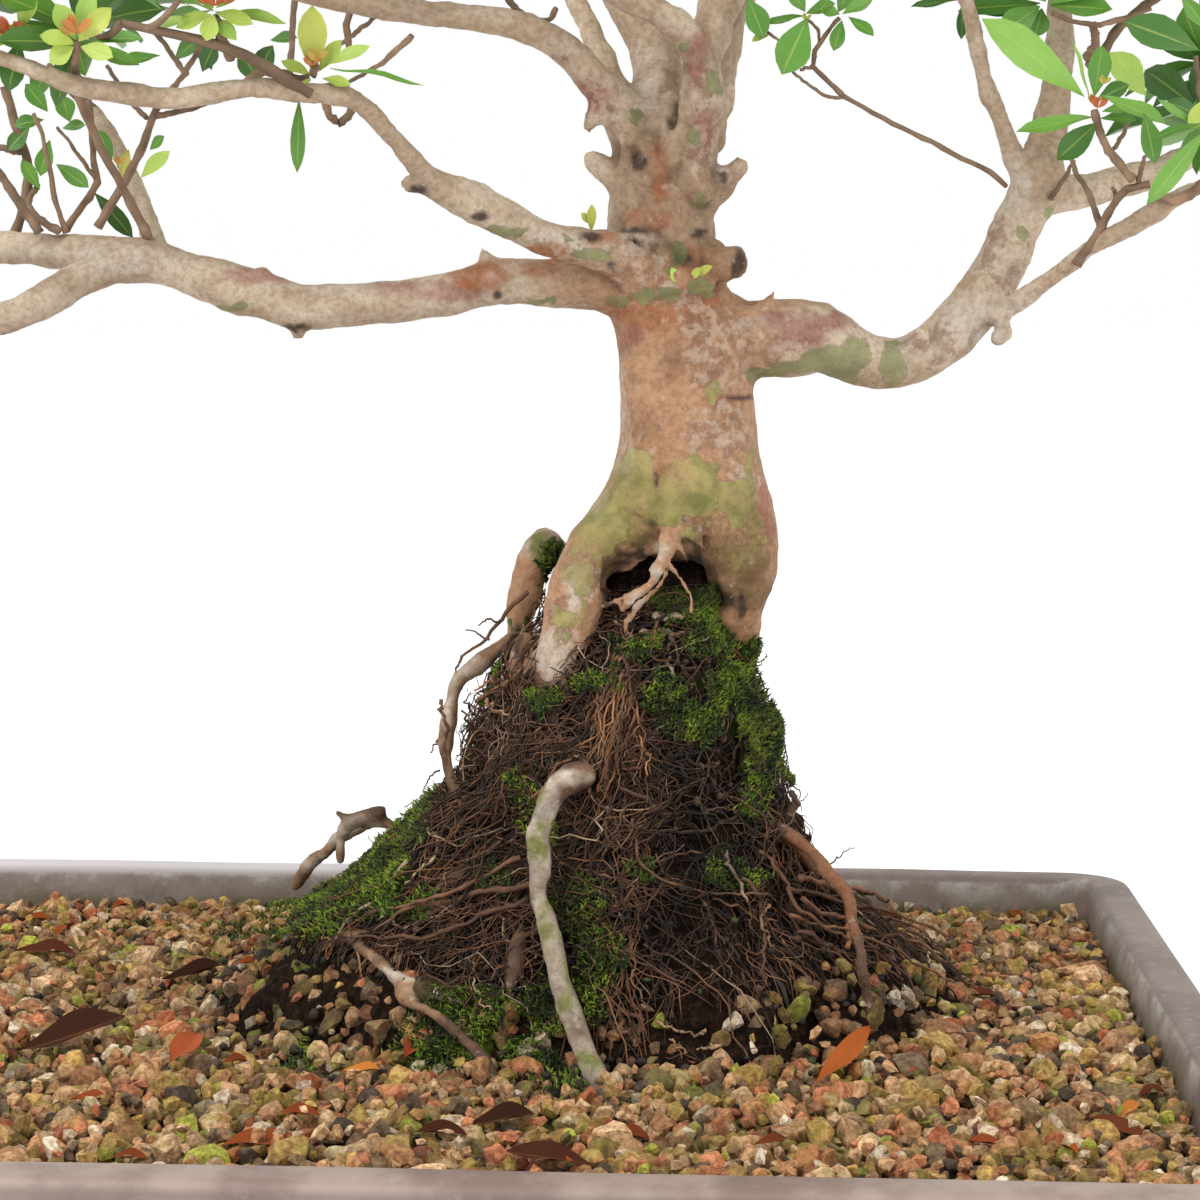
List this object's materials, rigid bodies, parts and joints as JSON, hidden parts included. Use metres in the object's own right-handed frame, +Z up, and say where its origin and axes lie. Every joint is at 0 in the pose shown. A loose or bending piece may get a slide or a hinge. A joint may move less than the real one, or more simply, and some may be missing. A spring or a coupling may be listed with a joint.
{
  "type": "azalea bonsai",
  "caption": "Azalea bonsai with exposed legs over a mossy root mound, spreading branches and small leaf whorls, in a rectangular unglazed tray of gravel.",
  "frame": {"origin": "on the surface that the tray stands on, under the middle of the whole plant's bounding box", "axes": "+Z up; X along the tray's long side, +X to the right as seen from the front; +Y to the back"},
  "size_m": [0.4882, 0.2972, 0.4428],
  "materials": {
    "tray": "matte unglazed stoneware",
    "gravel": "matte baked clay grains",
    "mound": "matte dark root mass",
    "wood": "smooth tan bark",
    "leaf": "semi-gloss leaf",
    "dry_leaf": "matte dry leaf",
    "screen": "matte black mesh"
  },
  "bodies": {
    "root": {"tray": "tray", "soil": "gravel", "root_mound": "mound", "tree": "wood", "drain_screen_left": "screen", "drain_screen_right": "screen", "foliage_apex": "leaf", "foliage_back_left": "leaf", "foliage_back_right": "leaf", "foliage_far_left": "leaf", "foliage_front_far_left": "leaf", "foliage_front_left": "leaf", "foliage_front_top_left": "leaf", "foliage_front_top_right": "leaf", "foliage_high_left": "leaf", "foliage_inner": "leaf", "foliage_left_back": "leaf", "foliage_low_left": "leaf", "foliage_right_front": "leaf", "foliage_right_low": "leaf", "foliage_right_out": "leaf", "foliage_right_top": "leaf", "foliage_right_up": "leaf", "fallen_leaf_1": "dry_leaf", "fallen_leaf_2": "dry_leaf", "fallen_leaf_3": "dry_leaf", "fallen_leaf_4": "dry_leaf", "fallen_leaf_5": "dry_leaf", "fallen_leaf_6": "dry_leaf", "fallen_leaf_7": "dry_leaf", "fallen_leaf_8": "dry_leaf"}
  },
  "joints": []
}
